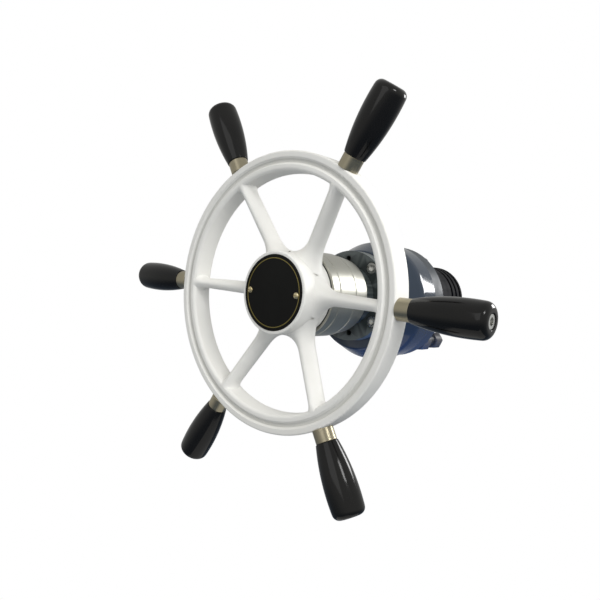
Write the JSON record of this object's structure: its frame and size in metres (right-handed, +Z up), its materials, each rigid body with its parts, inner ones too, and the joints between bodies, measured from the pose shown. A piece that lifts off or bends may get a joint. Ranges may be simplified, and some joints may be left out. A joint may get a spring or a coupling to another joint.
{
  "type": "boat steering helm",
  "caption": "Spoked boat steering wheel with outer grips on a hydraulic hand pump: shaft in ball bearings, gear pump, lock valve and pipe unions behind the dashboard flange.",
  "frame": {"origin": "on the shaft's axis, on the flange face that meets the dashboard panel", "axes": "-Y along the shaft towards the helmsman, +Y into the dashboard, +Z up, +X to the right seen from the helm's back towards the bow"},
  "size_m": [0.447, 0.3434, 0.42],
  "materials": {
    "white_enamel": "gloss white enamel on cast aluminium",
    "plate_black": "satin black enamel with a raised metal border",
    "brass_trim": "worn brass",
    "black_grip": "gloss black moulded grip",
    "ferrule_metal": "polished nickel brass",
    "steel": "machined steel",
    "zinc": "zinc plated steel",
    "dark_casting": "dark painted cast aluminium",
    "shroud_alloy": "polished turned aluminium",
    "black_steel": "black oxide steel",
    "seal_rubber": "nitrile rubber",
    "drum_enamel": "gloss gray-blue enamel on cast aluminium",
    "bronze": "bearing bronze",
    "pump_iron": "machined cast iron",
    "black_block": "black anodised aluminium"
  },
  "bodies": {
    "pump": {"nose_flange": "dark_casting", "neck_shroud": "shroud_alloy", "shroud_screws": "black_steel", "front_outer_race": "steel", "rear_outer_race": "steel", "shaft_seal": "seal_rubber", "flange_screws": "zinc", "flange_gasket": "seal_rubber", "pump_drum": "drum_enamel", "drum_gasket": "seal_rubber", "front_wear_plate": "bronze", "gear_housing": "pump_iron", "rear_wear_plate": "bronze", "stack_screws": "steel", "rear_plate": "drum_enamel", "rear_bolts": "black_steel", "idler_axle": "steel", "shaft_bush": "bronze", "breather_plug": "black_steel", "valve_block": "black_block", "block_screws": "black_steel", "valve_plugs": "black_steel", "check_spring_top": "steel", "check_spring_bottom": "steel", "union_left": "black_steel", "union_right": "black_steel", "union_nuts": "black_steel"},
    "wheel": {"wheel_casting": "white_enamel", "hub_plate": "plate_black", "plate_screws": "brass_trim", "handle_1": "black_grip", "handle_2": "black_grip", "handle_3": "black_grip", "handle_4": "black_grip", "handle_5": "black_grip", "handle_6": "black_grip", "ferrule_1": "ferrule_metal", "ferrule_2": "ferrule_metal", "ferrule_3": "ferrule_metal", "ferrule_4": "ferrule_metal", "ferrule_5": "ferrule_metal", "ferrule_6": "ferrule_metal", "handle_bolts": "steel", "wheel_nut": "steel", "wheel_washer": "steel", "wheel_key": "steel", "shaft": "steel", "front_inner_race": "steel", "rear_inner_race": "steel", "bearing_spacer": "steel", "shaft_circlip": "steel", "drive_gear": "steel", "drive_key": "steel"},
    "front_balls": {"front_ball_set": "steel"},
    "rear_balls": {"rear_ball_set": "steel"},
    "idler": {"driven_gear": "steel", "idler_bush": "bronze"},
    "spool": {"shuttle_spool": "steel"},
    "poppet_top": {"check_poppet_top": "steel"},
    "poppet_bottom": {"check_poppet_bottom": "steel"}
  },
  "joints": [
    {"name": "wheel_turn", "type": "hinge", "parent": "pump", "child": "wheel", "pos_m": [0, 0, 0], "axis": [0, -1, 0], "continuous": true},
    {"name": "front_balls_turn", "type": "hinge", "parent": "pump", "child": "front_balls", "pos_m": [0, 0, 0], "axis": [0, -1, 0], "continuous": true},
    {"name": "rear_balls_turn", "type": "hinge", "parent": "pump", "child": "rear_balls", "pos_m": [0, 0, 0], "axis": [0, -1, 0], "continuous": true},
    {"name": "idler_turn", "type": "hinge", "parent": "pump", "child": "idler", "pos_m": [0, 0, -0.036], "axis": [0, -1, 0], "continuous": true},
    {"name": "spool_slide", "type": "slide", "parent": "pump", "child": "spool", "axis": [0, 0, 1], "range_m": [-0.0022, 0.0022]},
    {"name": "poppet_top_lift", "type": "slide", "parent": "pump", "child": "poppet_top", "axis": [0, 0, 1], "range_m": [0, 0.0025], "stiffness_N_per_m": 800, "springref_m": -0.003, "deforming": ["check_spring_top"]},
    {"name": "poppet_bottom_lift", "type": "slide", "parent": "pump", "child": "poppet_bottom", "axis": [0, 0, -1], "range_m": [0, 0.0025], "stiffness_N_per_m": 800, "springref_m": -0.003, "deforming": ["check_spring_bottom"]}
  ],
  "couplings": [
    {"joint": "front_balls_turn", "follows": "wheel_turn", "ratio": 0.3961},
    {"joint": "rear_balls_turn", "follows": "wheel_turn", "ratio": 0.3961},
    {"joint": "idler_turn", "follows": "wheel_turn", "ratio": -1}
  ]
}
